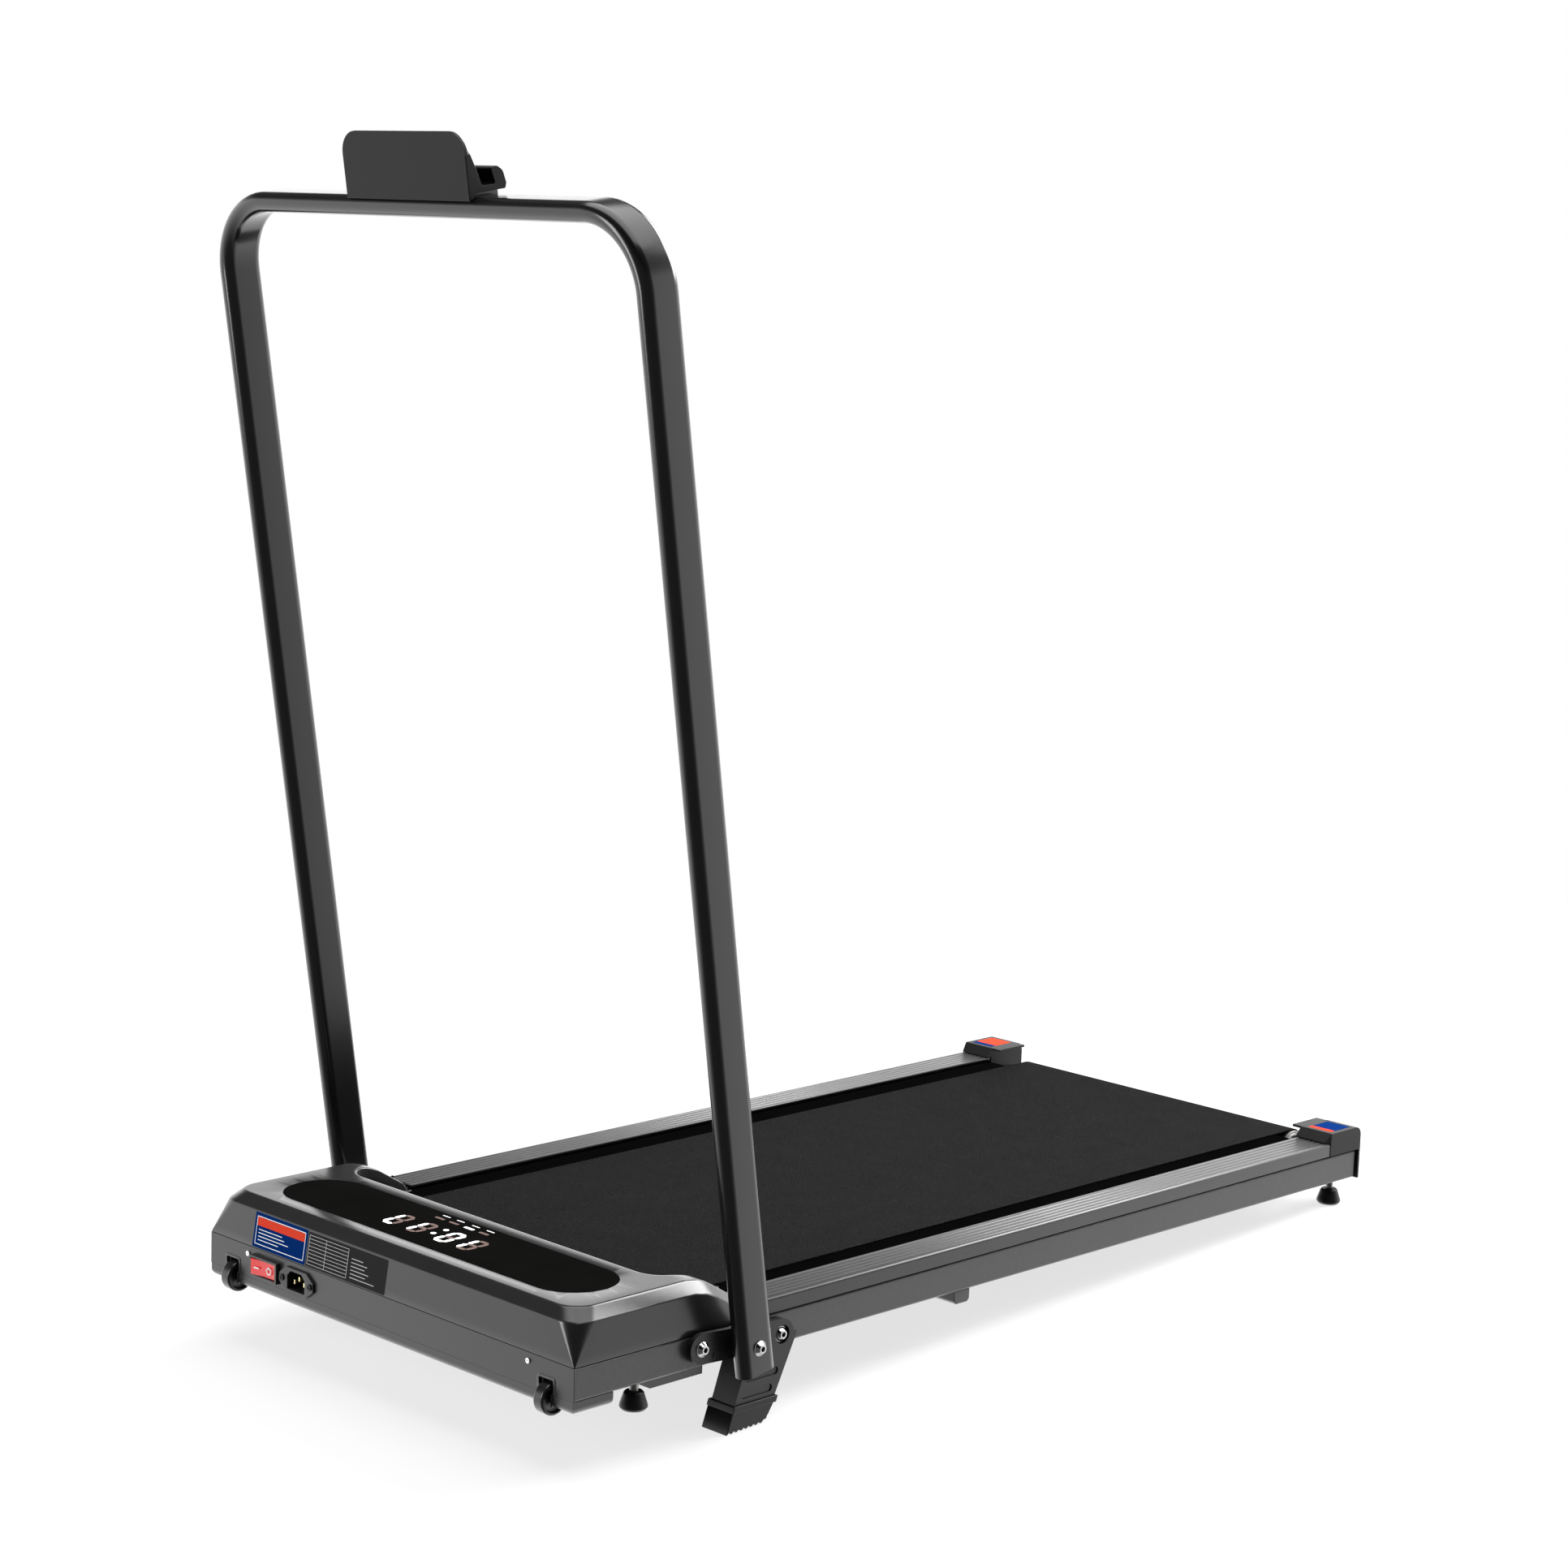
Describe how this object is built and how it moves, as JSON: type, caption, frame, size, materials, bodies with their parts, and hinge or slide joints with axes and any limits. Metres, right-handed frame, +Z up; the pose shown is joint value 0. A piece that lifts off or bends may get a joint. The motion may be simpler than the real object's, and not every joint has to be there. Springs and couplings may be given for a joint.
{
  "type": "folding walking treadmill",
  "caption": "Low walking treadmill with a belt over a steel-framed deck, a motor hood with display at the front, a U-shaped folding handrail with phone shelf, and stand legs.",
  "frame": {"origin": "on the floor, at the middle of the object's bounding box", "axes": "+Z up; +Y from the motor hood towards the rear of the deck, the way a walker faces is -Y; +X towards the right side of someone who looks along +Y"},
  "size_m": [0.5702, 1.1018, 1.0932],
  "materials": {
    "frame_paint": "powder coat, fine texture",
    "leg_paint": "powder coat",
    "tube_paint": "satin gloss paint",
    "skirt_grey": "ribbed, satin",
    "deck_black": "black laminate",
    "soft_rubber": "moulded rubber",
    "running_belt": "fine diamond weave",
    "bare_steel": "turned, zinc plated",
    "chromed": "polished",
    "alloy": "machined",
    "motor_black": "black paint",
    "board_green": "circuit board",
    "hood_grey": "fine grain, satin",
    "window_black": "smoked acrylic",
    "trim_black": "fine grain",
    "rocker_red": "translucent red",
    "blade_brass": "plated",
    "cap_grey": "fine grain"
  },
  "bodies": {
    "frame": {"side_rail_left": "frame_paint", "side_rail_right": "frame_paint", "front_beam": "frame_paint", "cross_tubes": "frame_paint", "under_bar": "frame_paint", "deck_board": "deck_black", "deck_cushions": "soft_rubber", "side_skirt_left": "skirt_grey", "side_skirt_right": "skirt_grey", "walking_belt": "running_belt", "front_roller_axle": "bare_steel", "rear_roller_axle": "bare_steel", "axle_blocks": "bare_steel", "tension_bolts": "bare_steel", "drive_belt": "soft_rubber", "motor_can": "motor_black", "motor_cradle": "frame_paint", "controller_board": "board_green", "heat_sink": "alloy", "motor_hood": "hood_grey", "display_window": "window_black", "display_board": "board_green", "bottom_pan": "frame_paint", "rocker_housing": "trim_black", "power_inlet": "trim_black", "inlet_blades": "blade_brass", "face_screws": "chromed", "wheel_axles": "bare_steel", "wheel_forks": "bare_steel", "hinge_plate_left": "leg_paint", "hinge_plate_right": "leg_paint", "stand_leg_left": "leg_paint", "stand_leg_right": "leg_paint", "leg_boot_left": "soft_rubber", "leg_boot_right": "soft_rubber", "hinge_bolts": "chromed", "hinge_spacers": "bare_steel", "end_cap_left": "cap_grey", "end_cap_right": "cap_grey"},
    "handrail": {"handrail_tube": "tube_paint", "phone_holder": "trim_black", "holder_saddle": "trim_black"},
    "front_roller": {"front_roller_tube": "bare_steel", "front_roller_bearings": "bare_steel", "roller_pulley": "alloy"},
    "rear_roller": {"rear_roller_tube": "bare_steel", "rear_roller_bearings": "bare_steel"},
    "motor_rotor": {"motor_shaft": "bare_steel", "flywheel_pulley": "bare_steel"},
    "mains_rocker": {"rocker_button": "rocker_red"},
    "wheel_left": {"transport_wheel_left": "soft_rubber"},
    "wheel_right": {"transport_wheel_right": "soft_rubber"},
    "foot_front_left": {"foot_pad_front_left": "soft_rubber", "foot_stud_front_left": "bare_steel"},
    "foot_front_right": {"foot_pad_front_right": "soft_rubber", "foot_stud_front_right": "bare_steel"},
    "foot_rear_left": {"foot_pad_rear_left": "soft_rubber", "foot_stud_rear_left": "bare_steel"},
    "foot_rear_right": {"foot_pad_rear_right": "soft_rubber", "foot_stud_rear_right": "bare_steel"}
  },
  "joints": [
    {"name": "handrail_fold", "type": "hinge", "parent": "frame", "child": "handrail", "pos_m": [0, -0.35701, 0.07871], "axis": [-1, 0, 0], "range_deg": [0, 99]},
    {"name": "front_roller_spin", "type": "hinge", "parent": "frame", "child": "front_roller", "pos_m": [0, -0.43225, 0.08668], "axis": [1, 0, 0], "continuous": true},
    {"name": "rear_roller_spin", "type": "hinge", "parent": "frame", "child": "rear_roller", "pos_m": [0, 0.52291, 0.04657], "axis": [1, 0, 0], "continuous": true},
    {"name": "motor_spin", "type": "hinge", "parent": "frame", "child": "motor_rotor", "pos_m": [0, -0.49181, 0.09839], "axis": [1, 0, 0], "continuous": true},
    {"name": "mains_rocker_tilt", "type": "hinge", "parent": "frame", "child": "mains_rocker", "pos_m": [-0.166, -0.53844, 0.08433], "axis": [0, -0.042, -0.9991], "range_deg": [0, 12]},
    {"name": "wheel_left_spin", "type": "hinge", "parent": "frame", "child": "wheel_left", "pos_m": [-0.216, -0.53643, 0.06543], "axis": [1, 0, 0], "continuous": true},
    {"name": "wheel_right_spin", "type": "hinge", "parent": "frame", "child": "wheel_right", "pos_m": [0.216, -0.53643, 0.06543], "axis": [1, 0, 0], "continuous": true},
    {"name": "foot_front_left_height", "type": "slide", "parent": "frame", "child": "foot_front_left", "axis": [0, -0.042, -0.9991], "range_m": [-0.004, 0.01]},
    {"name": "foot_front_right_height", "type": "slide", "parent": "frame", "child": "foot_front_right", "axis": [0, -0.042, -0.9991], "range_m": [-0.004, 0.01]},
    {"name": "foot_rear_left_height", "type": "slide", "parent": "frame", "child": "foot_rear_left", "axis": [0, -0.042, -0.9991], "range_m": [-0.004, 0.01]},
    {"name": "foot_rear_right_height", "type": "slide", "parent": "frame", "child": "foot_rear_right", "axis": [0, -0.042, -0.9991], "range_m": [-0.004, 0.01]}
  ],
  "couplings": [
    {"joint": "rear_roller_spin", "follows": "front_roller_spin", "ratio": 1},
    {"joint": "motor_spin", "follows": "front_roller_spin", "ratio": 2.6667}
  ]
}
